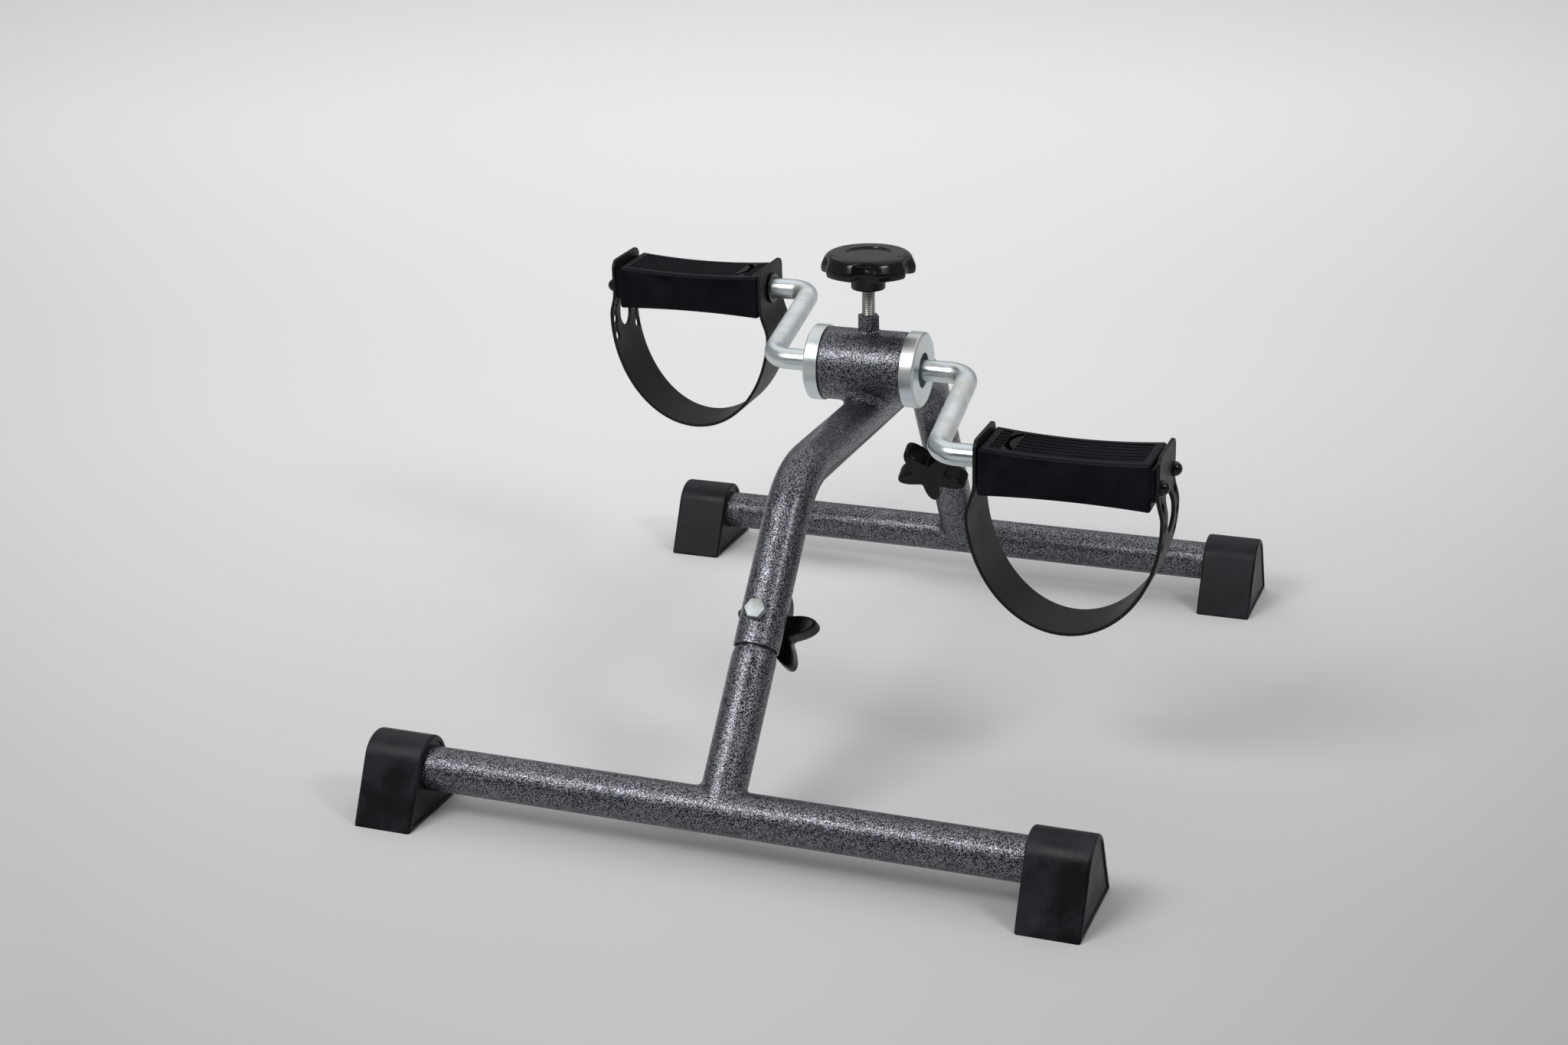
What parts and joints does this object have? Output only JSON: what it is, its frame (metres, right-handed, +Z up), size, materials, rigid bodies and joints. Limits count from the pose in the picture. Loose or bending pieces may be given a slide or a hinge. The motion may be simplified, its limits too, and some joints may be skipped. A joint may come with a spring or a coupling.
{
  "type": "pedal exerciser",
  "caption": "Low pedal exerciser: bent tube frame on two cross bars with rubber feet, one-piece crank in a hub with a brake knob, and block pedals with foot straps.",
  "frame": {"origin": "on the floor under the middle of the frame, centred between the four feet", "axes": "+Z up, X along the cross bars and the crank axle with +X the right pedal, -Y the front cross bar, +Y the rear one"},
  "size_m": [0.418, 0.5188, 0.2747],
  "materials": {
    "hammertone_paint": "glossy silver-vein hammertone over black",
    "foot_rubber": "semi-matte black rubber",
    "zinc_plate": "bluish bright zinc plating",
    "plain_steel": "plain grey machined steel",
    "knob_plastic": "glossy black moulded plastic",
    "pedal_plastic": "satin black moulded plastic",
    "strap_plastic": "flexible satin dark grey plastic",
    "nylon": "dark nylon"
  },
  "bodies": {
    "frame": {"front_cross_bar": "hammertone_paint", "rear_cross_bar": "hammertone_paint", "upper_frame_tube": "hammertone_paint", "hub_shell": "hammertone_paint", "tension_boss": "hammertone_paint", "hub_cap_left": "zinc_plate", "hub_cap_right": "zinc_plate", "axle_bush_left": "nylon", "axle_bush_right": "nylon", "foot_front_left": "foot_rubber", "foot_front_right": "foot_rubber", "foot_rear_left": "foot_rubber", "foot_rear_right": "foot_rubber", "front_lock_bolt": "zinc_plate", "rear_lock_bolt": "zinc_plate"},
    "crank": {"crank_rod": "zinc_plate", "brake_drum": "nylon", "pin_retainer_left": "zinc_plate", "pin_retainer_right": "zinc_plate"},
    "right_pedal": {"pedal_block_right": "pedal_plastic", "pedal_strap_right": "strap_plastic", "pedal_sleeve_right": "knob_plastic", "strap_stud_first_right": "knob_plastic", "strap_stud_second_right": "knob_plastic"},
    "left_pedal": {"pedal_block_left": "pedal_plastic", "pedal_strap_left": "strap_plastic", "pedal_sleeve_left": "knob_plastic", "strap_stud_first_left": "knob_plastic", "strap_stud_second_left": "knob_plastic"},
    "brake": {"brake_shoe": "nylon"},
    "brake_handle": {"tension_screw": "plain_steel", "tension_knob": "knob_plastic"},
    "front_lock_seat": {"front_lock_washer": "zinc_plate"},
    "front_lock_handle": {"front_lock_knob": "knob_plastic"},
    "rear_lock_seat": {"rear_lock_washer": "zinc_plate"},
    "rear_lock_handle": {"rear_lock_knob": "knob_plastic"}
  },
  "joints": [
    {"name": "crank_spin", "type": "hinge", "parent": "frame", "child": "crank", "pos_m": [0, 0.0265, 0.2046], "axis": [1, 0, 0], "continuous": true},
    {"name": "right_pedal_spin", "type": "hinge", "parent": "crank", "child": "right_pedal", "pos_m": [0.151, -0.07379, 0.18836], "axis": [1, 0, 0], "continuous": true},
    {"name": "left_pedal_spin", "type": "hinge", "parent": "crank", "child": "left_pedal", "pos_m": [-0.151, 0.12679, 0.22084], "axis": [1, 0, 0], "continuous": true},
    {"name": "brake_travel", "type": "slide", "parent": "frame", "child": "brake", "axis": [0, 0, 1], "range_m": [0, 0.002]},
    {"name": "brake_knob_turn", "type": "hinge", "parent": "brake", "child": "brake_handle", "pos_m": [0, 0.0265, 0.2046], "axis": [0, 0, 1], "range_deg": [0, 576]},
    {"name": "front_lock_travel", "type": "slide", "parent": "frame", "child": "front_lock_seat", "axis": [0, 0.766, -0.6428], "range_m": [0, 0.004]},
    {"name": "front_lock_turn", "type": "hinge", "parent": "front_lock_seat", "child": "front_lock_handle", "pos_m": [0, -0.15654, 0.1113], "axis": [0, 0.766, -0.6428], "range_deg": [0, 1440]},
    {"name": "rear_lock_travel", "type": "slide", "parent": "frame", "child": "rear_lock_seat", "axis": [0, -0.8526, -0.5225], "range_m": [0, 0.004]},
    {"name": "rear_lock_turn", "type": "hinge", "parent": "rear_lock_seat", "child": "rear_lock_handle", "pos_m": [0, 0.1765, 0.11006], "axis": [0, -0.8526, -0.5225], "range_deg": [0, 1440]}
  ],
  "couplings": [
    {"joint": "brake_travel", "follows": "brake_knob_turn", "m_per_rad": 0.00019894},
    {"joint": "front_lock_travel", "follows": "front_lock_turn", "m_per_rad": 0.00015915},
    {"joint": "rear_lock_travel", "follows": "rear_lock_turn", "m_per_rad": 0.00015915}
  ]
}
